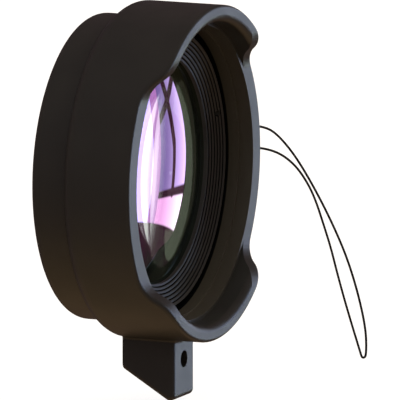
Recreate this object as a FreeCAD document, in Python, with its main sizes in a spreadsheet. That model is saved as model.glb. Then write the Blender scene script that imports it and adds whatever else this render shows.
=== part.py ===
import FreeCAD, Part
import math
import os
import Sketcher
from FreeCAD import Placement, Rotation, Vector

# Close-up lens that presses over an underwater camera's round port.
# The optical axis is Y. The front faces -Y and +Z is up. The origin is on the axis,
# in the seat where the port's front face stops. In the sheet, every "_at" value is
# a distance forward from the rear face of the collar.

doc = FreeCAD.newDocument("close_up_lens")
sheet = doc.addObject("Spreadsheet::Sheet", "Sheet")


class Size:
    """A length that knows its value and the sheet expression it comes from."""

    def __init__(self, value, text):
        self.value = value
        self.text = text

    def __add__(self, other):
        other = size_of(other)
        return Size(self.value + other.value, f"({self.text} + {other.text})")

    def __sub__(self, other):
        other = size_of(other)
        return Size(self.value - other.value, f"({self.text} - {other.text})")

    def __mul__(self, factor):
        return Size(self.value * factor, f"({self.text} * {factor})")

    def __truediv__(self, factor):
        return Size(self.value / factor, f"({self.text} / {factor})")

    def __neg__(self):
        return Size(-self.value, f"(-{self.text})")


def size_of(value):
    return value if isinstance(value, Size) else Size(value, str(value))


def cell(alias, value, note):
    cell.row += 1
    sheet.set(f"A{cell.row}", note)
    sheet.set(f"B{cell.row}", str(value))
    sheet.setAlias(f"B{cell.row}", alias)
    return Size(value, f"Sheet.{alias}")


cell.row = 0

# The glass drives the widths: each wall, step and clearance is added outwards from it.
glass_radius = cell("glass_radius", 26.92, "edge of the glass doublet")
glass_clearance = cell("glass_clearance", 0.08, "gap between the glass and its bore")
lip_overlap = cell("lip_overlap", 0.9, "how far the lip in front of the glass covers its bore")
barrel_wall = cell("barrel_wall", 2.0, "wall of the lens cell's barrel")
flange_reach = cell("flange_reach", 2.5, "how far the cell's front flange stands out from its barrel")
web_hole_clearance = cell("web_hole_clearance", 0.05, "gap between the web's hole and the barrel")
cell_room_gap = cell("cell_room_gap", 1.7, "open ring between the flange and the holder")
hood_bore_step = cell("hood_bore_step", 0.5, "step from that room out to the hood's bore")
ledge_width = cell("ledge_width", 0.9, "ledge at the foot of the petals' inner face")
ring_clearance = cell("ring_clearance", 0.05, "gap between a threaded ring and its thread")
lock_ring_reach = cell("lock_ring_reach", 2.5, "how far the lock ring stands out from the barrel")
lock_room_clearance = cell("lock_room_clearance", 0.3, "gap round the lock ring")
seat_width = cell("seat_width", 0.4, "width of the seat where the camera's port stops")
collar_wall = cell("collar_wall", 2.8, "wall of the collar around the port socket")
shoulder_step = cell("shoulder_step", 3.5, "step from the collar out to the hood")
retainer_reach = cell("retainer_reach", 2.6, "how far the retaining ring reaches in from the glass bore")

glass_bore_radius = glass_radius + glass_clearance
lip_radius = glass_bore_radius - lip_overlap
barrel_radius = glass_bore_radius + barrel_wall
flange_radius = barrel_radius + flange_reach
web_hole_radius = barrel_radius + web_hole_clearance
cell_room_radius = flange_radius + cell_room_gap
hood_bore_radius = cell_room_radius + hood_bore_step
petal_bore_radius = hood_bore_radius + ledge_width
lock_ring_radius = barrel_radius + lock_ring_reach
lock_room_radius = lock_ring_radius + lock_room_clearance
socket_radius = lock_room_radius + seat_width
collar_radius = socket_radius + collar_wall
hood_radius = collar_radius + shoulder_step

# The port socket drives the lengths: each face follows from the one behind it.
seat_at = cell("socket_depth", 8.0, "depth of the port socket, up to the seat")
lock_room_depth = cell("lock_room_depth", 3.5, "room for the lock ring ahead of the seat")
web_thickness = cell("web_thickness", 2.0, "thickness of the inner web")
retainer_inset = cell("retainer_inset", 0.2, "retaining ring's rear face ahead of the barrel's end")
retainer_thickness = cell("retainer_thickness", 1.3, "thickness of the retaining ring")
seal_section = cell("seal_section", 0.45, "radius of a seal ring's section")
glass_edge = cell("glass_edge", 6.45, "doublet's rear face to the lip")
lip_height = cell("lip_height", 0.9, "length of the lip's straight wall")
cone_depth = cell("cone_depth", 2.25, "depth of the ribbed cone in front of the lip")
cell_room_lead = cell("cell_room_lead", 2.6, "cell's front edge to the step in the holder")
hood_lead = cell("hood_lead", 3.3, "that step to the hood's cut-back sides")
petal_rise = cell("petal_rise", 5.2, "how far the petals stand ahead of the sides")
lock_ring_thickness = cell("lock_ring_thickness", 2.0, "thickness of the lock ring")

web_rear_at = seat_at + lock_room_depth
web_front_at = web_rear_at + web_thickness
retainer_rear_at = seat_at + retainer_inset
retainer_front_at = retainer_rear_at + retainer_thickness
rear_seal_at = retainer_front_at + seal_section
doublet_rear_at = rear_seal_at + seal_section
glass_seat_at = doublet_rear_at + glass_edge
lip_front_at = glass_seat_at + lip_height
flange_front_at = lip_front_at + cone_depth
cell_room_at = flange_front_at + cell_room_lead
side_rim_at = cell_room_at + hood_lead
petal_rim_at = side_rim_at + petal_rise

# Holder's outer form
collar_round = cell("collar_round", 2.1, "rounding of the collar's rear edge")
shoulder_at = cell("shoulder_at", 9.0, "where the collar steps up to the hood")
shoulder_round = cell("shoulder_round", 3.3, "rounding of the shoulder")
petal_foot_z = cell("petal_foot_z", 19.6, "height where a petal's curve leaves the side rim")
petal_run = cell("petal_run", 10.4, "height over which that curve reaches the petal's front")
rim_round = cell("rim_round", 0.8, "rounding of the rim's outer edge")
petal_inner_round = cell("petal_inner_round", 1.7, "rounding of the petals' inner front edge")
socket_lead_in = cell("socket_lead_in", 0.6, "chamfer at the socket's mouth")
side_cut_margin = cell("side_cut_margin", 5.0, "how far the side cut's outline passes the petals")

# Grip ring in the socket
grip_at = cell("grip_at", 2.8, "rear side of the grip ring's groove")
grip_width = cell("grip_width", 2.4, "width of the grip ring")
grip_depth = cell("grip_depth", 1.2, "radial thickness of the grip ring")
grip_clearance = cell("grip_clearance", 0.05, "gap around the grip ring in its groove")

# Tab under the hood
tab_width = cell("tab_width", 12.4, "tab, side to side")
tab_setback = cell("tab_setback", 1.5, "tab's rear face ahead of the shoulder")
tab_length = cell("tab_length", 12.6, "tab, rear face to front face")
tab_rear_drop = cell("tab_rear_drop", 7.0, "rear face of the tab below the hood")
tab_slope_drop = cell("tab_slope_drop", 7.7, "how far the tab's sole slopes down to its front")
tab_root = cell("tab_root", 2.6, "how far the tab's stock reaches into the hood's wall")
tab_round = cell("tab_round", 1.3, "rounding of the tab's edges")
tab_root_round = cell("tab_root_round", 0.8, "hollow rounding where the tab meets the hood")
tab_hole_radius = cell("tab_hole_radius", 1.95, "hole in the tab's front face")
tab_hole_depth = cell("tab_hole_depth", 8.0, "depth of the tab's hole")
tab_hole_drop = cell("tab_hole_drop", 4.7, "centre of the tab's hole below the hood")

# Two cord holes in one side of the hood
cord_hole_inset = cell("cord_hole_inset", 3.4, "cord holes ahead of the web's front face")
cord_hole_radius = cell("cord_hole_radius", 0.6, "radius of a cord hole")
cord_hole_mid_z = cell("cord_hole_mid_z", 1.2, "height midway between the cord holes")
cord_hole_pitch = cell("cord_hole_pitch", 5.2, "distance between the cord holes")
knot_radius = cell("knot_radius", 0.75, "radius of the knot behind a cord hole")
cord_diameter = cell("cord_diameter", 0.55, "thickness of the lanyard cord")
cord_hole_at = web_front_at + cord_hole_inset

# Ribbed cone and key holes of the lens cell
rib_count = 6
flange_edge = cell("flange_edge", 0.3, "flat width of the cell's front edge")
rib_depth = cell("rib_depth", 0.3, "depth of a glare groove in the cone")
rib_land = cell("rib_land", 0.25, "smooth strip of cone outside the first groove")
key_hole_radius = cell("key_hole_radius", 0.75, "radius of a key hole in the cone")
key_hole_reach = cell("key_hole_reach", 3.6, "key holes out from the lip")
key_hole_turn = 17.7
key_hole_depth = cell("key_hole_depth", 2.8, "depth of the key holes below the front edge")

# Ground surfaces of the doublet
front_curve = cell("front_curve", 104.0, "radius of the domed front surface")
cement_curve = cell("cement_curve", 120.0, "radius of the cemented surface")
crown_edge = cell("crown_edge", 1.0, "thickness of the front glass at its edge")

# Front seal's groove, and the rings' key slots
front_seal_setback = cell("front_seal_setback", 0.8, "middle of the front seal behind the lip")
seal_groove_play = cell("seal_groove_play", 0.1, "gap at each side of the seal in its groove")
key_slot_width = cell("key_slot_width", 2.0, "width of a key slot in a ring")
key_slot_depth = cell("key_slot_depth", 0.7, "depth of a key slot in a ring")
lock_slot_reach = cell("lock_slot_reach", 1.3, "how far a key slot reaches into the lock ring")
slot_margin = cell("slot_margin", 1.0, "how far a slot's outline passes its ring")
front_seal_at = glass_seat_at - front_seal_setback
doc.recompute()

# The lanyard's route as a hand-laid list: out of the upper hole, down the outer strand,
# round the narrow tip and back along the inner strand to the lower hole.
cord_route = [
    (33.22, -8.9, 3.8), (41.5, -8.9, 3.8), (46.5, -11.0, 3.7), (50.6, -14.3, 2.7),
    (52.9, -16.3, 0.4), (55.7, -18.7, -3.9), (58.3, -21.0, -9.2), (61.0, -23.3, -15.3),
    (63.7, -25.7, -22.3), (66.0, -27.7, -29.1), (67.8, -29.3, -36.2), (69.1, -30.4, -42.6),
    (69.7, -30.9, -46.9), (69.8, -31.0, -49.7), (69.7, -31.0, -51.6), (69.5, -30.9, -52.8),
    (68.9, -30.3, -52.9), (68.5, -30.0, -51.4), (67.8, -29.4, -48.6), (66.6, -28.3, -43.6),
    (65.3, -27.1, -37.9), (64.0, -26.0, -32.1), (62.8, -25.0, -26.4), (61.4, -23.6, -20.4),
    (60.0, -22.4, -15.2), (58.4, -21.2, -11.2), (56.2, -19.2, -6.9), (53.2, -16.7, -3.7),
    (50.1, -13.9, -2.1), (46.0, -10.8, -1.4), (41.5, -8.9, -1.4), (33.45, -8.9, -1.4),
]


def origin_part(body, role):
    return next(item for item in body.Origin.OriginFeatures if item.Role == role)


def new_body(name):
    body = doc.addObject("PartDesign::Body", name)
    body.Label = name
    body.setExpression("Placement.Base.y", seat_at.text)
    return body


def section_sketch(body, name):
    """Sketch in the plane through the axis: local x is forward, local y is up."""
    sketch = body.newObject("Sketcher::SketchObject", name)
    sketch.AttachmentSupport = [(origin_part(body, "YZ_Plane"), "")]
    sketch.MapMode = "FlatFace"
    sketch.AttachmentOffset = Placement(Vector(), Rotation(Vector(0, 1, 0), 180))
    return sketch


def face_sketch(body, name, at):
    """Sketch square to the axis, facing the front: local x is right, local y is up."""
    sketch = body.newObject("Sketcher::SketchObject", name)
    sketch.AttachmentSupport = [(origin_part(body, "XZ_Plane"), "")]
    sketch.MapMode = "FlatFace"
    sketch.AttachmentOffset = Placement(Vector(0, 0, at.value), Rotation())
    sketch.setExpression("AttachmentOffset.Base.z", at.text)
    return sketch


def bind(sketch, constraint, text):
    index = sketch.addConstraint(constraint)
    sketch.setExpression(f"Constraints[{index}]", text)


def pin_point(sketch, geometry, point, x, y):
    """Hold one point of a sketch at sheet sizes measured from the sketch's origin."""
    for kind, length, axis in (("DistanceX", size_of(x), -2), ("DistanceY", size_of(y), -1)):
        if length.value == 0:
            sketch.addConstraint(Sketcher.Constraint("PointOnObject", geometry, point, axis))
        elif length.value > 0:
            bind(sketch, Sketcher.Constraint(kind, -1, 1, geometry, point, length.value), length.text)
        else:
            bind(sketch, Sketcher.Constraint(kind, geometry, point, -1, 1, -length.value), (-length).text)


def vector_of(corner):
    return Vector(size_of(corner[0]).value, size_of(corner[1]).value, 0)


def polygon(sketch, corners):
    """Closed outline with each corner tied to the sheet."""
    count = len(corners)
    first = sketch.GeometryCount
    for index in range(count):
        sketch.addGeometry(Part.LineSegment(vector_of(corners[index]), vector_of(corners[(index + 1) % count])))
    for index in range(count):
        following = first + (index + 1) % count
        sketch.addConstraint(Sketcher.Constraint("Coincident", first + index, 2, following, 1))
    for index, corner in enumerate(corners):
        pin_point(sketch, first + index, 1, *corner)


def circle(sketch, x, y, radius):
    index = sketch.addGeometry(Part.Circle(vector_of((x, y)), Vector(0, 0, 1), radius.value))
    pin_point(sketch, index, 3, x, y)
    bind(sketch, Sketcher.Constraint("Radius", index, radius.value), radius.text)


def revolve(body, name, corners):
    sketch = section_sketch(body, name + "_section")
    polygon(sketch, corners)
    feature = body.newObject("PartDesign::Revolution", name)
    feature.Profile = sketch
    feature.ReferenceAxis = (origin_part(body, "Y_Axis"), [""])
    feature.Angle = 360
    doc.recompute()
    return feature


def pocket(body, name, sketch, depth=None, both_ways=False, reverse=False):
    """Cut that must take something away, through everything when no depth is given."""
    before = body.Shape.Volume
    feature = body.newObject("PartDesign::Pocket", name)
    feature.Profile = sketch
    feature.Type = "ThroughAll" if depth is None else "Length"
    if depth is not None:
        feature.Length = depth.value
        feature.setExpression("Length", depth.text)
    if both_ways:
        feature.SideType = "Symmetric"
    feature.Reversed = reverse
    doc.recompute()
    if not body.Shape.Volume < before - 0.01:
        raise RuntimeError(f"{name} cuts nothing")
    return feature


def pattern_round_axis(body, name, original, count):
    feature = body.newObject("PartDesign::PolarPattern", name)
    feature.Originals = [original]
    feature.Axis = (origin_part(body, "Y_Axis"), [""])
    feature.Angle = 360
    feature.Occurrences = count
    body.Tip = feature
    doc.recompute()
    return feature


def edges_where(shape, test):
    """Names of the edges whose sampled points (radius from the axis, distance forward) all pass."""
    names = []
    for index, edge in enumerate(shape.Edges, 1):
        if edge.Degenerated:
            continue
        points = edge.discretize(7)
        if all(test(point) for point in points):
            names.append(f"Edge{index}")
    return names


def fillet(body, name, radius, test):
    base = body.Tip
    names = edges_where(base.Shape, test)
    if not names:
        raise RuntimeError(f"{name} finds no edge")
    feature = body.newObject("PartDesign::Fillet", name)
    feature.Base = (base, names)
    feature.Radius = radius.value
    feature.setExpression("Radius", radius.text)
    body.Tip = feature
    doc.recompute()
    return feature


def near(value, target):
    return abs(value - target) < 0.02


def from_axis(point):
    return math.hypot(point.x, point.z)


def forward(point):
    return -point.y


def build_holder():
    body = new_body("lens_holder")
    groove_radius = socket_radius + grip_clearance + grip_depth + grip_clearance
    groove_end = grip_at + grip_width + grip_clearance * 2
    revolve(body, "shell", [
        (0, collar_radius), (shoulder_at, collar_radius), (shoulder_at, hood_radius),
        (petal_rim_at, hood_radius), (petal_rim_at, petal_bore_radius),
        (side_rim_at, petal_bore_radius), (side_rim_at, hood_bore_radius),
        (cell_room_at, hood_bore_radius), (cell_room_at, cell_room_radius),
        (web_front_at, cell_room_radius), (web_front_at, web_hole_radius), (web_rear_at, web_hole_radius),
        (web_rear_at, lock_room_radius), (seat_at, lock_room_radius), (seat_at, socket_radius),
        (groove_end, socket_radius), (groove_end, groove_radius), (grip_at, groove_radius),
        (grip_at, socket_radius), (socket_lead_in, socket_radius),
        (0, socket_radius + socket_lead_in),
    ])
    fillet(body, "collar_edge", collar_round,
           lambda point: near(from_axis(point), collar_radius.value) and near(forward(point), 0))
    fillet(body, "shoulder_edge", shoulder_round,
           lambda point: near(from_axis(point), hood_radius.value) and near(forward(point), shoulder_at.value))
    fillet(body, "petal_inner_edge", petal_inner_round,
           lambda point: near(from_axis(point), petal_bore_radius.value) and near(forward(point), petal_rim_at.value))
    cut_back_sides(body)
    fillet(body, "rim_edge", rim_round,
           lambda point: near(from_axis(point), hood_radius.value) and forward(point) > side_rim_at.value - 0.02)
    add_tab(body)
    drill_cord_holes(body)
    return body


def cut_back_sides(body):
    """Cut both sides of the hood back between the petals, along a pair of equal arcs."""
    past_front = petal_rim_at + side_cut_margin
    petal_crown_z = petal_foot_z + petal_run
    mid_at = side_rim_at + petal_rise / 2
    mid_z = petal_foot_z + petal_run / 2
    turn = 2 * math.atan2(petal_rise.value, petal_run.value)
    radius = petal_run.value / 2 / math.sin(turn)
    sketch = section_sketch(body, "side_cut_outline")
    foot = vector_of((side_rim_at, petal_foot_z))
    crown = vector_of((petal_rim_at, petal_crown_z))
    lines = [((side_rim_at, 0), (side_rim_at, petal_foot_z)),
             ((petal_rim_at, petal_crown_z), (past_front, petal_crown_z)),
             ((past_front, petal_crown_z), (past_front, 0)),
             ((past_front, 0), (side_rim_at, 0))]
    for start, end in lines:
        sketch.addGeometry(Part.LineSegment(vector_of(start), vector_of(end)))
    foot_centre = foot + Vector(radius, 0, 0)
    crown_centre = crown - Vector(radius, 0, 0)
    upright = Vector(0, 0, 1)
    foot_arc = Part.ArcOfCircle(Part.Circle(foot_centre, upright, radius), math.pi - turn, math.pi)
    crown_arc = Part.ArcOfCircle(Part.Circle(crown_centre, upright, radius), -turn, 0)
    foot_id = sketch.addGeometry(foot_arc)
    crown_id = sketch.addGeometry(crown_arc)
    for first, first_end, second, second_end in ((0, 2, foot_id, 2), (foot_id, 1, crown_id, 1),
                                                 (crown_id, 2, 1, 1), (1, 2, 2, 1), (2, 2, 3, 1),
                                                 (3, 2, 0, 1)):
        sketch.addConstraint(Sketcher.Constraint("Coincident", first, first_end, second, second_end))
    pin_point(sketch, 0, 1, side_rim_at, 0)
    pin_point(sketch, 0, 2, side_rim_at, petal_foot_z)
    pin_point(sketch, 1, 1, petal_rim_at, petal_crown_z)
    pin_point(sketch, 2, 1, past_front, petal_crown_z)
    pin_point(sketch, 3, 1, past_front, 0)
    pin_point(sketch, foot_id, 1, mid_at, mid_z)
    bind(sketch, Sketcher.Constraint("DistanceY", -1, 1, foot_id, 3, petal_foot_z.value), petal_foot_z.text)
    bind(sketch, Sketcher.Constraint("DistanceY", -1, 1, crown_id, 3, petal_crown_z.value), petal_crown_z.text)
    upper = pocket(body, "side_cut", sketch, (hood_radius + side_cut_margin) * 2, both_ways=True)
    mirror = body.newObject("PartDesign::Mirrored", "side_cut_below")
    mirror.Originals = [upper]
    mirror.MirrorPlane = (origin_part(body, "XY_Plane"), [""])
    body.Tip = mirror
    doc.recompute()


def add_tab(body):
    sketch = section_sketch(body, "tab_outline")
    rear_at = shoulder_at + tab_setback
    front_at = rear_at + tab_length
    root = -(hood_radius - tab_root)
    heel = hood_radius + tab_rear_drop
    polygon(sketch, [(rear_at, root), (rear_at, -heel), (front_at, -(heel + tab_slope_drop)),
                     (front_at, root)])
    pad = body.newObject("PartDesign::Pad", "tab")
    pad.Profile = sketch
    pad.SideType = "Symmetric"
    pad.Length = tab_width.value
    pad.setExpression("Length", tab_width.text)
    doc.recompute()
    half = tab_width.value / 2
    fillet(body, "tab_edges", tab_round,
           lambda point: point.z < -hood_radius.value + 1.0 and abs(point.x) < half + 0.02
           and (near(forward(point), front_at.value) or near(forward(point), rear_at.value)
                or point.z < -heel.value + 0.02)
           and (near(abs(point.x), half) or not near(from_axis(point), hood_radius.value)))
    fillet(body, "tab_root_edge", tab_root_round,
           lambda point: near(from_axis(point), hood_radius.value) and abs(point.x) < half + 0.02
           and point.z < 0 and rear_at.value - 0.02 < forward(point) < front_at.value + 0.02)
    hole = face_sketch(body, "tab_hole_outline", front_at)
    circle(hole, 0, -(hood_radius + tab_hole_drop), tab_hole_radius)
    pocket(body, "tab_hole", hole, tab_hole_depth)


def drill_cord_holes(body):
    sketch = section_sketch(body, "cord_hole_outline")
    for offset in (cord_hole_pitch / 2, -(cord_hole_pitch / 2)):
        circle(sketch, cord_hole_at, cord_hole_mid_z + offset, cord_hole_radius)
    pocket(body, "cord_holes", sketch)


def build_cell():
    """Turned barrel with a ribbed glare cone in front of the glass."""
    body = new_body("lens_cell")
    cone_outer = flange_radius - flange_edge
    corners = [(seat_at, barrel_radius), (web_front_at, barrel_radius),
               (web_front_at, flange_radius), (flange_front_at, flange_radius),
               (flange_front_at, cone_outer)]
    rib_pitch = (cone_outer - rib_land - lip_radius) / rib_count
    cone_fall = cone_depth / (cone_outer.value - lip_radius.value)
    for index in range(rib_count):
        crest = cone_outer - rib_land - rib_pitch * index
        crest_at = flange_front_at - (cone_outer - crest) * cone_fall.value
        corners += [(crest_at, crest), (crest_at - rib_depth, crest - rib_pitch * 0.35)]
    groove_rear = front_seal_at - seal_section - seal_groove_play
    groove_front = front_seal_at + seal_section + seal_groove_play
    groove_radius = glass_bore_radius + seal_section * 2
    corners += [(lip_front_at, lip_radius), (glass_seat_at, lip_radius),
                (glass_seat_at, glass_bore_radius), (groove_front, glass_bore_radius),
                (groove_front, groove_radius), (groove_rear, groove_radius),
                (groove_rear, glass_bore_radius), (seat_at, glass_bore_radius)]
    revolve(body, "barrel", corners)
    sketch = face_sketch(body, "key_hole_outline", flange_front_at)
    angle = math.radians(key_hole_turn)
    from_centre = lip_radius + key_hole_reach
    circle(sketch, from_centre * math.cos(angle), from_centre * math.sin(angle), key_hole_radius)
    hole = pocket(body, "key_hole", sketch, key_hole_depth)
    pattern_round_axis(body, "key_holes", hole, 2)
    return body


def build_ring(name, rear_at, thickness, inner, outer, slot_from, slot_to, slots):
    """Flat threaded ring with key slots in its rear face."""
    body = new_body(name)
    revolve(body, "ring", [(rear_at, inner), (rear_at, outer), (rear_at + thickness, outer),
                           (rear_at + thickness, inner)])
    sketch = face_sketch(body, "key_slot_outline", rear_at)
    half = key_slot_width / 2
    polygon(sketch, [(slot_from, -half), (slot_to, -half), (slot_to, half), (slot_from, half)])
    slot = pocket(body, "key_slot", sketch, key_slot_depth, reverse=True)
    pattern_round_axis(body, "key_slots", slot, slots)
    return body


def build_retaining_ring():
    inner = glass_bore_radius - retainer_reach
    outer = glass_bore_radius - ring_clearance
    return build_ring("rear_retaining_ring", retainer_rear_at, retainer_thickness, inner, outer,
                      inner - slot_margin, outer + slot_margin, 2)


def build_lock_ring():
    """Ring on the barrel's thread that pulls the cell's flange down on the web."""
    return build_ring("cell_lock_ring", web_rear_at - lock_ring_thickness, lock_ring_thickness,
                      barrel_radius + ring_clearance, lock_ring_radius,
                      lock_ring_radius - lock_slot_reach, lock_ring_radius + slot_margin, 4)


def build_grip_ring():
    body = new_body("port_grip_ring")
    inner = socket_radius + grip_clearance
    rear = grip_at + grip_clearance
    revolve(body, "band", [(rear, inner), (rear, inner + grip_depth),
                           (rear + grip_width, inner + grip_depth), (rear + grip_width, inner)])
    return body


def on_axis(item, at):
    """Stand a primitive on the optical axis, pointing forward, with its base at a distance."""
    item.Placement = Placement(Vector(0, seat_at.value - at.value, 0), Rotation(Vector(1, 0, 0), 90))
    item.setExpression("Placement.Base.y", (seat_at - at).text)


def primitive(kind, name, at, **sizes):
    item = doc.addObject(kind, name)
    for key, length in sizes.items():
        length = size_of(length)
        setattr(item, key, length.value)
        item.setExpression(key, length.text)
    on_axis(item, at)
    return item


def combine(kind, name, base, tool):
    item = doc.addObject(kind, name)
    item.Base = base
    item.Tool = tool
    item.Label = name
    doc.recompute()
    return item


def sag(curve, radius):
    """Height of a ground surface's middle above its edge."""
    height = curve.value - math.sqrt(curve.value ** 2 - radius.value ** 2)
    return Size(height, f"({curve.text} - sqrt({curve.text}^2 - {radius.text}^2))")


def build_doublet():
    """Grind the two glasses from round blanks: a dome in front and a cemented curve between."""
    apex_at = glass_seat_at + sag(front_curve, lip_radius)
    front_edge_at = apex_at - sag(front_curve, glass_radius)
    cement_edge_at = front_edge_at - crown_edge
    # The cemented surface bulges back at its middle, so its centre lies in front of it.
    cement_centre_at = cement_edge_at - sag(cement_curve, glass_radius) + cement_curve
    dome = primitive("Part::Sphere", "front_dome", apex_at - front_curve, Radius=front_curve)
    crown_blank = primitive("Part::Cylinder", "crown_blank", doublet_rear_at, Radius=glass_radius,
                            Height=apex_at - doublet_rear_at)
    domed_blank = combine("Part::Common", "domed_blank", crown_blank, dome)
    cement_ball = primitive("Part::Sphere", "cement_ball", cement_centre_at, Radius=cement_curve)
    crown = combine("Part::Common", "crown_element", domed_blank, cement_ball)
    cement_cutter = primitive("Part::Sphere", "cement_cutter", cement_centre_at, Radius=cement_curve)
    flint_blank = primitive("Part::Cylinder", "flint_blank", doublet_rear_at, Radius=glass_radius,
                            Height=cement_edge_at - doublet_rear_at)
    flint = combine("Part::Cut", "flint_element", flint_blank, cement_cutter)
    return crown, flint


def build_seal(name, at, ring_radius):
    seal = primitive("Part::Torus", name, at, Radius1=ring_radius, Radius2=seal_section)
    seal.Label = name
    return seal


def build_knot(name, side):
    """Knot drawn up against the inner end of its cord hole."""
    knot = doc.addObject("Part::Sphere", name)
    knot.Label = name
    knot.Radius = knot_radius.value
    knot.setExpression("Radius", knot_radius.text)
    height = cord_hole_mid_z + cord_hole_pitch / 2 * side
    rim_z = height + cord_hole_radius * side
    knot.setExpression("Placement.Base.x", f"sqrt({cell_room_radius.text}^2 - {rim_z.text}^2)"
                       f" - sqrt({knot_radius.text}^2 - {cord_hole_radius.text}^2)")
    knot.setExpression("Placement.Base.y", (seat_at - cord_hole_at).text)
    knot.setExpression("Placement.Base.z", height.text)
    return knot


def rounded_path(points):
    """Straight runs joined by tangent arcs, each arc as large as its two runs allow."""
    share = 0.45
    edges = []
    radii = []
    start = points[0]
    for before, corner, after in zip(points, points[1:], points[2:]):
        back = (before - corner).normalize()
        ahead = (after - corner).normalize()
        turn = math.pi - back.getAngle(ahead)
        trim = share * min((before - corner).Length, (after - corner).Length)
        radii.append(trim / math.tan(turn / 2))
        enter = corner + back * trim
        leave = corner + ahead * trim
        bisector = (back + ahead).normalize()
        centre = corner + bisector * (radii[-1] / math.cos(turn / 2))
        middle = centre - bisector * radii[-1]
        edges.append(Part.LineSegment(start, enter).toShape())
        edges.append(Part.Arc(enter, middle, leave).toShape())
        start = leave
    edges.append(Part.LineSegment(start, points[-1]).toShape())
    return Part.Wire(edges), radii


def build_cord():
    points = [Vector(*point) for point in cord_route]
    path, radii = rounded_path(points)
    section = Part.Wire(Part.Circle(points[0], points[1] - points[0], cord_diameter.value / 2).toShape())
    cord = doc.addObject("Part::Feature", "lanyard_cord")
    cord.Label = "lanyard_cord"
    cord.Shape = path.makePipeShell([section], True, False)
    expected = math.pi * (cord_diameter.value / 2) ** 2 * path.Length
    print(f"lanyard_cord length {path.Length:.1f}, radii {min(radii):.2f} to {max(radii):.1f},"
          f" volume {cord.Shape.Volume:.3f} of {expected:.3f}")
    print("lanyard_cord radii", [round(radius, 1) for radius in radii])
    return cord


def check_document():
    for item in doc.Objects:
        if "Invalid" in item.State or "Error" in item.State:
            raise RuntimeError(f"{item.Label} is {item.State}")


def export(nodes):
    os.makedirs("parts", exist_ok=True)
    for node in nodes:
        shape = node.Shape
        if shape.isNull() or not shape.isValid():
            raise RuntimeError(f"{node.Label} has no valid shape")
        shape.exportStep(f"parts/{node.Label}.step")
        box = shape.BoundBox
        print(f"{node.Label}: solids {len(shape.Solids)}, volume {shape.Volume:.2f},"
              f" x {box.XMin:.2f} {box.XMax:.2f}, y {box.YMin:.2f} {box.YMax:.2f},"
              f" z {box.ZMin:.2f} {box.ZMax:.2f}")


nodes = [
    build_holder(),
    build_cell(),
    *build_doublet(),
    build_seal("front_seal", front_seal_at, glass_radius + seal_section),
    build_seal("rear_seal", rear_seal_at, glass_radius - seal_section * 2),
    build_retaining_ring(),
    build_lock_ring(),
    build_grip_ring(),
    build_cord(),
    build_knot("cord_knot_upper", 1),
    build_knot("cord_knot_lower", -1),
]
doc.recompute()
check_document()
export(nodes)
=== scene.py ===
import bpy
import math
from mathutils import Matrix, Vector


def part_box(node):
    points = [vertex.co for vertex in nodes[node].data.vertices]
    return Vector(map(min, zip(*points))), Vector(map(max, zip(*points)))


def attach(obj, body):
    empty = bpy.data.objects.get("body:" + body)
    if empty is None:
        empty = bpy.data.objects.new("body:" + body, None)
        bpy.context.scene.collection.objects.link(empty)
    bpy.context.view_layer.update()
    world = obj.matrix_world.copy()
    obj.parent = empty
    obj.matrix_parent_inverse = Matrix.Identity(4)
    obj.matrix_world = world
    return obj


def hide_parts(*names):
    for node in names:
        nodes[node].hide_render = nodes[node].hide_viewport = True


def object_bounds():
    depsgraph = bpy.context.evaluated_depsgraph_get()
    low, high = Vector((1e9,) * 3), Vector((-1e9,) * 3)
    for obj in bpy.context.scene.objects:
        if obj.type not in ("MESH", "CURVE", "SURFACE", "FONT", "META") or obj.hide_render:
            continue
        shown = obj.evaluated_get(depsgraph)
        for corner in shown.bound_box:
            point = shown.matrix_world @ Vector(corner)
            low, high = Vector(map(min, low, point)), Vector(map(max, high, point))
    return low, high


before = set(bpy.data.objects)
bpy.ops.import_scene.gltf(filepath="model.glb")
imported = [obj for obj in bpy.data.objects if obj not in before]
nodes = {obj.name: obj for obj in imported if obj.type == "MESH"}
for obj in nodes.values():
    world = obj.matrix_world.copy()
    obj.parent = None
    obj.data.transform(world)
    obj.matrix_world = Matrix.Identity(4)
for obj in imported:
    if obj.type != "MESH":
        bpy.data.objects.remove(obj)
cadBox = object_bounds()
print("frame loaded:", len(nodes), "nodes")

mm = 0.001

camera = {
    "azimuth": -66.85,
    "elevation": 9.3,
    "lens": 1650.0,         # very long, so the view is nearly parallel
    "sensor": 36.0,
    "frameWidth": 91.2,    # mm of the part across the picture
    "right": 24.88,         # mm, picture's centre from the axis at the collar's rear face
    "up": -7.917,
}

studio = {
    "floorBelow": 0.4,      # mm between the lowest point and the floor
    "floorSize": 4.0,       # m
    "floorColour": (0.32, 0.26, 0.19),
    "floorGlow": (0.82, 0.84, 0.87),    # what the camera sees of the floor besides its lit colour
    "ambient": (0.92, 0.92, 0.92),
    "keyPlace": (0.75, -0.55, 0.5),     # m
    "keySize": (0.5, 0.6),
    "keyPower": 4.0,
}

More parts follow.
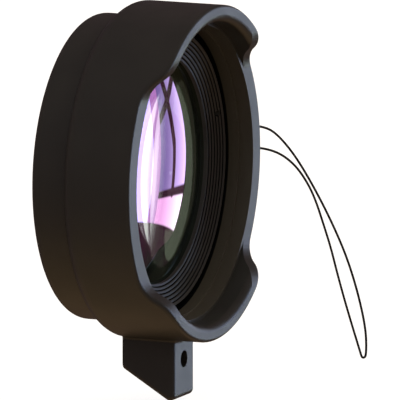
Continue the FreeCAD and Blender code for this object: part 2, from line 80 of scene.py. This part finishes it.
# What polished and satin faces reflect: a dark room with one tall window to the front
# right. Directions are degrees to the right of straight ahead, and degrees up.
window = {
    "left": 40.0,
    "post": 59.7,           # between the open left pane and the barred right one
    "right": 84.0,
    "sill": -14.8,
    "rail": -11.2,
    "head": 7.0,
    "leftPane": (2.2, 3.0, 4.3),
    "curtain": 55.6,        # from here to the post the left pane is dimmer
    "curtainPane": (1.1, 0.8, 1.3),
    "rightPane": ((0.44, 0.50, 0.85), (2.6, 2.9, 3.6)),     # at the post, and at the right edge
    "lowPane": ((2.1, 1.6, 2.0), (3.6, 5.0, 3.8)),
    "bars": [               # from one direction to another, and half its width in degrees
        ((62.2, 4.4), (64.1, 0.4), 0.95),
        ((64.1, 0.4), (67.8, -6.6), 0.95),
        ((67.8, -6.6), (68.0, -11.0), 0.95),
        ((72.0, 0.0), (59.7, -2.9), 0.62),
        ((59.4, -11.6), (84.0, -10.9), 0.42),
    ],
    "room": (0.080, 0.045, 0.055),
    "below": (0.42, 0.27, 0.14),
}

cord = {
    "diameter": 0.55,
    "length": 158.8,
    "knotPoints": 36,
    # same points as the model's cord, in mm
    "route": [
        (33.22, -8.9, 3.8), (41.5, -8.9, 3.8), (46.5, -11.0, 3.7), (50.6, -14.3, 2.7),
        (52.9, -16.3, 0.4), (55.7, -18.7, -3.9), (58.3, -21.0, -9.2), (61.0, -23.3, -15.3),
        (63.7, -25.7, -22.3), (66.0, -27.7, -29.1), (67.8, -29.3, -36.2), (69.1, -30.4, -42.6),
        (69.7, -30.9, -46.9), (69.8, -31.0, -49.7), (69.7, -31.0, -51.6), (69.5, -30.9, -52.8),
        (68.9, -30.3, -52.9), (68.5, -30.0, -51.4), (67.8, -29.4, -48.6), (66.6, -28.3, -43.6),
        (65.3, -27.1, -37.9), (64.0, -26.0, -32.1), (62.8, -25.0, -26.4), (61.4, -23.6, -20.4),
        (60.0, -22.4, -15.2), (58.4, -21.2, -11.2), (56.2, -19.2, -6.9), (53.2, -16.7, -3.7),
        (50.1, -13.9, -2.1), (46.0, -10.8, -1.4), (41.5, -8.9, -1.4), (33.45, -8.9, -1.4),
    ],
}

holderFinish = {
    "colour": (0.0245, 0.0215, 0.0165), "specular": 0.5, "roughness": (0.38, 0.44),
    # painted warm light: browner within this radius ahead of the web; painted shade: black down in the trench
    # round the cell
    "inside": (0.050, 0.040, 0.026), "insideRadius": 33.9, "webFront": -5.0, "trench": (-12.0, -5.0),
    "patchScale": 90, "grainScale": 5200, "bumpStrength": 0.25, "bumpDepth": 0.02,
}

cellFinish = {
    "colour": (0.030, 0.0255, 0.0195), "specular": 0.5, "roughness": (0.38, 0.44), "turning": 0.12,
    "ribCrest": 30.95, "ribPitch": 0.8083,      # mm, as on the model; the grooves are painted black as shade
    "patchScale": 120, "grainScale": 7000, "bumpStrength": 0.2, "bumpDepth": 0.008,
}

ringFinish = {
    "colour": (0.018, 0.0175, 0.017), "specular": 0.6, "roughness": (0.34, 0.42), "turning": 0.18,
    "patchScale": 120, "grainScale": 6000, "bumpStrength": 0.25, "bumpDepth": 0.01,
}

sealFinish = {
    "colour": (0.012, 0.012, 0.012), "specular": 0.4, "roughness": (0.42, 0.52),
    "patchScale": 150, "grainScale": 4000, "bumpStrength": 0.3, "bumpDepth": 0.02,
}

gripFinish = {
    "colour": (0.017, 0.0165, 0.016), "specular": 0.3, "roughness": (0.55, 0.68),
    "patchScale": 100, "grainScale": 3000, "bumpStrength": 0.45, "bumpDepth": 0.04,
}

glass = {
    "index": 1.72,
    "clear": (0.97, 0.98, 0.97),
    "dim": (0.0030, 0.0012, 0.0020),
    "dimFacing": (0.52, 0.58),      # where the coating turns dim, from 0 face on to 1 edge on
    "paintedRings": [                   # painted shade and light: its see-through colour outside each of these half widths in mm
        (8.9, (0.016, 0.024, 0.012)),
        (14.2, (0.0010, 0.0009, 0.0005)),
        (17.2, (0.00011, 0.00015, 0.00007)),
    ],
    "dimOval": 0.64,                # and their width by their height
    "crownTint": (1.0, 0.34, 1.0),
    "coatTint": (1.0, 0.55, 0.98),
    # painted green on the coating's reflection beyond this half width, where steep
    "rimTintFrom": 14.2,
    "rimTint": (0.40, 0.70, 0.50),
    "coatFacing": (0.40, 0.85),
    "coatGloss": (0.24, 0.45),      # how much the coating reflects at those two
    "domeRadius": 104.0,            # mm
    "crownSplit": -8.1,             # mm, between the dome and the cemented face behind it
    "flintSplit": -3.5,             # mm, between the rear face and the cemented face
    "edgeRadius": 26.88,
    "edgeBlack": (0.01, 0.01, 0.01),
}


def aimCamera():
    azimuth, elevation = math.radians(camera["azimuth"]), math.radians(camera["elevation"])
    back = Vector((math.sin(azimuth) * math.cos(elevation), -math.cos(azimuth) * math.cos(elevation),
                   math.sin(elevation)))
    right = Vector((math.cos(azimuth), math.sin(azimuth), 0))
    up = back.cross(right)
    rearFace = Vector((0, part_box("lens_holder")[1].y, 0))
    target = rearFace + (right * camera["right"] + up * camera["up"]) * mm
    distance = camera["frameWidth"] * mm * camera["lens"] / camera["sensor"]
    data = bpy.data.cameras.new("photoCamera")
    data.lens = camera["lens"]
    data.sensor_width = camera["sensor"]
    data.clip_start, data.clip_end = 0.1, 100
    view = bpy.data.objects.new("photoCamera", data)
    bpy.context.scene.collection.objects.link(view)
    view.location = target + back * distance
    view.rotation_mode = "QUATERNION"
    view.rotation_quaternion = (-back).to_track_quat("-Z", "Y")
    bpy.context.scene.camera = view
    print("camera at", [round(c, 3) for c in view.location])


def tieKnot(name, node, material):
    low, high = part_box(node)
    centre, reach = (low + high) / 2, (high.x - low.x) / 2
    wire = cord["diameter"] / 2 * mm * 0.97
    curve = bpy.data.curves.new(name, "CURVE")
    curve.dimensions = "3D"
    spline = curve.splines.new("NURBS")
    spline.points.add(cord["knotPoints"] - 1)
    for index, point in enumerate(spline.points):
        turn = 2 * math.pi * index / cord["knotPoints"]
        offset = Vector((math.sin(turn) + 2 * math.sin(2 * turn), -math.sin(3 * turn) * 1.3,
                         math.cos(turn) - 2 * math.cos(2 * turn))) * ((reach - wire) / 3)
        point.co = (*(centre + offset), 1)
    spline.use_cyclic_u = True
    spline.order_u = 3
    spline.resolution_u = 4
    curve.bevel_depth = wire
    curve.bevel_resolution = 3
    curve.materials.append(material)
    knot = bpy.data.objects.new(name, curve)
    bpy.context.scene.collection.objects.link(knot)
    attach(knot, "root")
    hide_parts(node)


def layCord(material):
    curve = bpy.data.curves.new("lanyardLoop", "CURVE")
    curve.dimensions = "3D"
    spline = curve.splines.new("NURBS")
    spline.points.add(len(cord["route"]) - 1)
    for point, (x, y, z) in zip(spline.points, cord["route"]):
        point.co = (x * mm, y * mm, z * mm, 1)
    spline.order_u = 3
    spline.use_endpoint_u = True
    spline.resolution_u = 12
    curve.bevel_depth = cord["diameter"] / 2 * mm
    curve.bevel_resolution = 4
    curve.use_fill_caps = True
    curve.materials.append(material)
    loop = bpy.data.objects.new("lanyardLoop", curve)
    bpy.context.scene.collection.objects.link(loop)
    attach(loop, "root")
    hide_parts("lanyard_cord")
    print("cord laid")


def newMaterial(name):
    material = bpy.data.materials.new(name)
    material.use_nodes = True
    return material, material.node_tree, material.node_tree.nodes["Principled BSDF"]


def addNode(tree, kind, **values):
    node = tree.nodes.new(kind)
    for key, value in values.items():
        setattr(node, key, value)
    return node


def feed(tree, socket, value):
    if isinstance(value, bpy.types.NodeSocket):
        tree.links.new(value, socket)
    elif socket.type == "RGBA":
        socket.default_value = (*value, 1)
    else:
        socket.default_value = value


def calc(tree, operation, *values):
    node = addNode(tree, "ShaderNodeMath", operation=operation)
    for socket, value in zip(node.inputs, values):
        feed(tree, socket, value)
    return node.outputs[0]


def mixColour(tree, factor, first, second, blend="MIX"):
    node = addNode(tree, "ShaderNodeMix", data_type="RGBA", blend_type=blend)
    colours = [socket for socket in node.inputs if socket.type == "RGBA"]
    feed(tree, node.inputs["Factor"], factor)
    feed(tree, colours[0], first)
    feed(tree, colours[1], second)
    return next(socket for socket in node.outputs if socket.type == "RGBA")


def step(tree, value, edge, soft):
    node = addNode(tree, "ShaderNodeMapRange", interpolation_type="SMOOTHSTEP")
    feed(tree, node.inputs["Value"], value)
    node.inputs["From Min"].default_value = edge - soft
    node.inputs["From Max"].default_value = edge + soft
    return node.outputs["Result"]


def between(tree, value, low, high, soft):
    above = step(tree, value, low, soft)
    below = calc(tree, "SUBTRACT", 1.0, step(tree, value, high, soft))
    return calc(tree, "MULTIPLY", above, below)


def objectPlace(tree):
    return addNode(tree, "ShaderNodeTexCoord").outputs["Object"]


def fromAxis(tree, place, oval=1.0):
    flat = addNode(tree, "ShaderNodeVectorMath", operation="MULTIPLY")
    feed(tree, flat.inputs[0], place)
    flat.inputs[1].default_value = (1, 0, oval)
    size = addNode(tree, "ShaderNodeVectorMath", operation="LENGTH")
    feed(tree, size.inputs[0], flat.outputs[0])
    return size.outputs["Value"]


def speckle(tree, place, scale, detail=3.0):
    node = addNode(tree, "ShaderNodeTexNoise")
    feed(tree, node.inputs["Vector"], place)
    node.inputs["Scale"].default_value = scale
    node.inputs["Detail"].default_value = detail
    return node.outputs["Fac"]


def spread(tree, value, low, high):
    node = addNode(tree, "ShaderNodeMapRange")
    feed(tree, node.inputs["Value"], value)
    node.inputs["From Min"].default_value = 0.3
    node.inputs["From Max"].default_value = 0.7
    node.inputs["To Min"].default_value = low
    node.inputs["To Max"].default_value = high
    return node.outputs["Result"]


def bump(tree, shader, height, strength, depth):
    node = addNode(tree, "ShaderNodeBump")
    node.inputs["Strength"].default_value = strength
    node.inputs["Distance"].default_value = depth * mm
    feed(tree, node.inputs["Height"], height)
    feed(tree, shader.inputs["Normal"], node.outputs["Normal"])


def satin(name, look):
    material, tree, shader = newMaterial(name)
    place = objectPlace(tree)
    patches = speckle(tree, place, look["patchScale"])
    grain = speckle(tree, place, look["grainScale"], 2.0)
    darker = tuple(part * 0.86 for part in look["colour"])
    colour = mixColour(tree, spread(tree, patches, 0.0, 1.0), look["colour"], darker)
    parts = addNode(tree, "ShaderNodeSeparateXYZ")
    feed(tree, parts.inputs[0], place)
    radius = fromAxis(tree, place)
    paintedShade = 0.0
    if look.get("inside"):
        # Painted warm light: browner inside the holder ahead of the web. Painted shade: black down in the trench
        # round the cell.
        within = calc(tree, "SUBTRACT", 1.0, step(tree, radius, look["insideRadius"] * mm, 0.3 * mm))
        ahead = calc(tree, "LESS_THAN", parts.outputs["Y"], look["webFront"] * mm)
        colour = mixColour(tree, calc(tree, "MULTIPLY", within, ahead), colour, look["inside"])
        low, high = look["trench"]
        paintedShade = calc(tree, "MULTIPLY", between(tree, parts.outputs["Y"], low * mm, high * mm, 0.15 * mm), within)
    if look.get("ribPitch"):
        # Painted shade: the grooves between the ribs are coloured black.
        across = calc(tree, "DIVIDE", calc(tree, "SUBTRACT", look["ribCrest"] * mm, radius), look["ribPitch"] * mm)
        inGroove = between(tree, calc(tree, "FRACT", across), 0.16, 0.46, 0.08)
        paintedShade = calc(tree, "MULTIPLY", inGroove, calc(tree, "GREATER_THAN", across, 0.0))
    # Painted shade turns the colour black and takes away the gloss.
    feed(tree, shader.inputs["Base Color"], mixColour(tree, paintedShade, colour, (0.002, 0.002, 0.002)))
    low, high = look["roughness"]
    feed(tree, shader.inputs["Roughness"], spread(tree, patches, low, high))
    feed(tree, shader.inputs["Specular IOR Level"],
         calc(tree, "MULTIPLY", calc(tree, "SUBTRACT", 1.0, paintedShade), look["specular"]))
    height = grain
    if look.get("turning"):
        spiral = calc(tree, "ADD", radius, parts.outputs["Y"])
        marks = calc(tree, "SINE", calc(tree, "MULTIPLY", spiral, 2 * math.pi / (look["turning"] * mm)))
        height = calc(tree, "ADD", calc(tree, "MULTIPLY", marks, 0.35), grain)
    bump(tree, shader, height, look["bumpStrength"], look["bumpDepth"])
    return material


def coatedGlass():
    material, tree, shader = newMaterial("coatedGlass")
    look = glass
    # Steep light passes the coating less, so the far side of the cell shows dark through it.
    facing = addNode(tree, "ShaderNodeLayerWeight").outputs["Facing"]
    low, high = look["dimFacing"]
    steep = step(tree, facing, (low + high) / 2, (high - low) / 2)
    radius = fromAxis(tree, objectPlace(tree), look["dimOval"])
    # Painted shade and light: rings of darker see-through colour by distance from the axis, the first one
    # greenish.
    dim = look["dim"]
    for edge, colour in look["paintedRings"]:
        dim = mixColour(tree, step(tree, radius, edge * mm, 0.4 * mm), dim, colour)
    feed(tree, shader.inputs["Base Color"], mixColour(tree, steep, look["clear"], dim))
    shader.inputs["Transmission Weight"].default_value = 1.0
    shader.inputs["Roughness"].default_value = 0.0
    shader.inputs["IOR"].default_value = look["index"]
    feed(tree, shader.inputs["Specular Tint"], look["crownTint"])
    normal = domeNormal(tree)
    feed(tree, shader.inputs["Normal"], normal)
    gloss = addNode(tree, "ShaderNodeBsdfGlossy")
    # Painted green reflection near the rim, where steep.
    rim = calc(tree, "MULTIPLY", step(tree, radius, look["rimTintFrom"] * mm, 0.4 * mm), steep)
    feed(tree, gloss.inputs["Color"], mixColour(tree, rim, look["coatTint"], look["rimTint"]))
    gloss.inputs["Roughness"].default_value = 0.0
    feed(tree, gloss.inputs["Normal"], normal)
    amount = addNode(tree, "ShaderNodeMapRange")
    feed(tree, amount.inputs["Value"], facing)
    amount.inputs["From Min"].default_value, amount.inputs["From Max"].default_value = look["coatFacing"]
    amount.inputs["To Min"].default_value, amount.inputs["To Max"].default_value = look["coatGloss"]
    outside = calc(tree, "SUBTRACT", 1.0, addNode(tree, "ShaderNodeNewGeometry").outputs["Backfacing"])
    coated = mixShader(tree, calc(tree, "MULTIPLY", amount.outputs["Result"], outside),
                       shader.outputs[0], gloss.outputs[0])
    joinGlass(tree, coated, "above", look["crownSplit"])
    return material


def domeNormal(tree):
    # The dome's exact normal, because its mesh ends in a point at the middle.
    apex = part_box("crown_element")[0].y
    centre = (0, apex + glass["domeRadius"] * mm, 0)
    out = addNode(tree, "ShaderNodeVectorMath", operation="SUBTRACT")
    feed(tree, out.inputs[0], objectPlace(tree))
    out.inputs[1].default_value = centre
    unit = addNode(tree, "ShaderNodeVectorMath", operation="NORMALIZE")
    feed(tree, unit.inputs[0], out.outputs[0])
    inside = addNode(tree, "ShaderNodeNewGeometry").outputs["Backfacing"]
    facing = addNode(tree, "ShaderNodeVectorMath", operation="SCALE")
    feed(tree, facing.inputs[0], unit.outputs[0])
    feed(tree, facing.inputs["Scale"], calc(tree, "MULTIPLY_ADD", inside, -2.0, 1.0))
    world = addNode(tree, "ShaderNodeVectorTransform", vector_type="NORMAL",
                    convert_from="OBJECT", convert_to="WORLD")
    feed(tree, world.inputs[0], facing.outputs[0])
    return world.outputs[0]


def clearGlass():
    material, tree, shader = newMaterial("clearGlass")
    feed(tree, shader.inputs["Base Color"], glass["clear"])
    shader.inputs["Transmission Weight"].default_value = 1.0
    shader.inputs["Roughness"].default_value = 0.0
    shader.inputs["IOR"].default_value = glass["index"]
    joinGlass(tree, shader.outputs[0], "below", glass["flintSplit"])
    return material


def mixShader(tree, factor, first, second):
    node = addNode(tree, "ShaderNodeMixShader")
    feed(tree, node.inputs[0], factor)
    tree.links.new(first, node.inputs[1])
    tree.links.new(second, node.inputs[2])
    return node.outputs[0]


def joinGlass(tree, surface, side, split):
    place = objectPlace(tree)
    parts = addNode(tree, "ShaderNodeSeparateXYZ")
    feed(tree, parts.inputs[0], place)
    behind = calc(tree, "GREATER_THAN", parts.outputs["Y"], split * mm)
    cement = behind if side == "above" else calc(tree, "SUBTRACT", 1.0, behind)
    edge = calc(tree, "GREATER_THAN", fromAxis(tree, place), glass["edgeRadius"] * mm)
    through = addNode(tree, "ShaderNodeBsdfTransparent")
    black = addNode(tree, "ShaderNodeBsdfDiffuse")
    feed(tree, black.inputs["Color"], glass["edgeBlack"])
    output = next(node for node in tree.nodes if node.type == "OUTPUT_MATERIAL")
    joined = mixShader(tree, cement, surface, through.outputs[0])
    tree.links.new(mixShader(tree, edge, joined, black.outputs[0]), output.inputs["Surface"])


def cordNylon():
    material, tree, shader = newMaterial("cordNylon")
    grain = speckle(tree, objectPlace(tree), 9000)
    feed(tree, shader.inputs["Base Color"], mixColour(tree, grain, (0.006, 0.006, 0.006), (0.014, 0.013, 0.012)))
    feed(tree, shader.inputs["Roughness"], spread(tree, grain, 0.5, 0.68))
    bump(tree, shader, grain, 0.4, 0.02)
    return material


def dress():
    cell = satin("cellAnodised", cellFinish)
    ring = satin("ringAnodised", ringFinish)
    seal = satin("sealRubber", sealFinish)
    nylon = cordNylon()
    finishes = {
        "lens_holder": satin("holderPlastic", holderFinish),
        "lens_cell": cell,
        "crown_element": coatedGlass(),
        "flint_element": clearGlass(),
        "front_seal": seal,
        "rear_seal": seal,
        "rear_retaining_ring": ring,
        "cell_lock_ring": ring,
        "port_grip_ring": satin("gripRubber", gripFinish),
    }
    for name, material in finishes.items():
        nodes[name].data.materials.clear()
        nodes[name].data.materials.append(material)
    print("finishes set")
    return nylon


def makeFloor():
    lowest = cadBox[0].z - studio["floorBelow"] * mm
    half = studio["floorSize"] / 2
    mesh = bpy.data.meshes.new("floor")
    mesh.from_pydata([(-half, -half, lowest), (half, -half, lowest), (half, half, lowest), (-half, half, lowest)],
                     [], [(0, 1, 2, 3)])
    floor = bpy.data.objects.new("floor", mesh)
    bpy.context.scene.collection.objects.link(floor)
    material, tree, shader = newMaterial("floorWhite")
    shader.inputs["Roughness"].default_value = 0.9
    shader.inputs["Specular IOR Level"].default_value = 0.0
    feed(tree, shader.inputs["Base Color"], studio["floorColour"])
    rays = addNode(tree, "ShaderNodeLightPath").outputs
    feed(tree, shader.inputs["Emission Color"], studio["floorGlow"])
    feed(tree, shader.inputs["Emission Strength"], rays["Is Camera Ray"])
    floor.data.materials.append(material)
    floor.visible_glossy = False
    floor.visible_transmission = False
    print("floor made")


def awayFrom(tree, place, start, end):
    # Distance from a straight bar between two places.
    along = Vector((*end, 0)) - Vector((*start, 0))
    offset = addNode(tree, "ShaderNodeVectorMath", operation="SUBTRACT")
    feed(tree, offset.inputs[0], place)
    offset.inputs[1].default_value = (*start, 0)
    dot = addNode(tree, "ShaderNodeVectorMath", operation="DOT_PRODUCT")
    feed(tree, dot.inputs[0], offset.outputs[0])
    dot.inputs[1].default_value = along / along.length_squared
    share = addNode(tree, "ShaderNodeClamp")
    feed(tree, share.inputs["Value"], dot.outputs["Value"])
    nearest = addNode(tree, "ShaderNodeVectorMath", operation="SCALE")
    nearest.inputs[0].default_value = along
    feed(tree, nearest.inputs["Scale"], share.outputs[0])
    gap = addNode(tree, "ShaderNodeVectorMath", operation="DISTANCE")
    feed(tree, gap.inputs[0], offset.outputs[0])
    feed(tree, gap.inputs[1], nearest.outputs[0])
    return gap.outputs["Value"]


def reflectedRoom(tree):
    way = addNode(tree, "ShaderNodeTexCoord").outputs["Generated"]
    parts = addNode(tree, "ShaderNodeSeparateXYZ")
    feed(tree, parts.inputs[0], way)
    right = calc(tree, "DEGREES", calc(tree, "ARCTAN2", parts.outputs["X"],
                                       calc(tree, "MULTIPLY", parts.outputs["Y"], -1.0)))
    up = calc(tree, "DEGREES", calc(tree, "ARCSINE", parts.outputs["Z"]))
    soft = 0.15
    tall = between(tree, up, window["sill"], window["head"], soft)
    left = calc(tree, "MULTIPLY", between(tree, right, window["left"], window["post"], soft), tall)
    opening = calc(tree, "MULTIPLY", between(tree, right, window["post"], window["right"], soft), tall)
    angles = addNode(tree, "ShaderNodeCombineXYZ")
    feed(tree, angles.inputs["X"], right)
    feed(tree, angles.inputs["Y"], up)
    for start, end, halfWidth in window["bars"]:
        opening = calc(tree, "MULTIPLY", opening,
                       step(tree, awayFrom(tree, angles.outputs[0], start, end), halfWidth, soft))
    middle = (window["post"] + window["right"]) / 2
    across = step(tree, right, middle, middle - window["post"])
    pane = mixColour(tree, step(tree, up, window["rail"], soft),
                     mixColour(tree, across, *window["lowPane"]), mixColour(tree, across, *window["rightPane"]))
    room = mixColour(tree, step(tree, up, -40.0, 25.0), window["below"], window["room"])
    leftLight = mixColour(tree, step(tree, right, window["curtain"], soft),
                          window["leftPane"], window["curtainPane"])
    seen = mixColour(tree, left, room, leftLight)
    return mixColour(tree, opening, seen, pane)


def lightWorld():
    world = bpy.data.worlds.new("studioWorld")
    bpy.context.scene.world = world
    world.use_nodes = True
    tree = world.node_tree
    rays = addNode(tree, "ShaderNodeLightPath").outputs
    backdrop = calc(tree, "MAXIMUM", rays["Is Camera Ray"], rays["Is Transmission Ray"])
    light = mixColour(tree, rays["Is Glossy Ray"], studio["ambient"], reflectedRoom(tree))
    feed(tree, tree.nodes["Background"].inputs["Color"], mixColour(tree, backdrop, light, (1.0, 1.0, 1.0)))
    print("world lit")


def addKey():
    data = bpy.data.lights.new("keyPanel", "AREA")
    data.shape = "RECTANGLE"
    data.size, data.size_y = studio["keySize"]
    data.energy = studio["keyPower"]
    lamp = bpy.data.objects.new("keyPanel", data)
    lamp.location = studio["keyPlace"]
    lamp.rotation_mode = "QUATERNION"
    lamp.rotation_quaternion = (-lamp.location).to_track_quat("-Z", "Y")
    lamp.visible_glossy = False
    lamp.visible_transmission = False
    bpy.context.scene.collection.objects.link(lamp)
    print("key lamp added")


aimCamera()
nylon = dress()
tieKnot("knotUpper", "cord_knot_upper", nylon)
tieKnot("knotLower", "cord_knot_lower", nylon)
layCord(nylon)
makeFloor()
lightWorld()
addKey()

bpy.context.scene.view_settings.view_transform = "Standard"
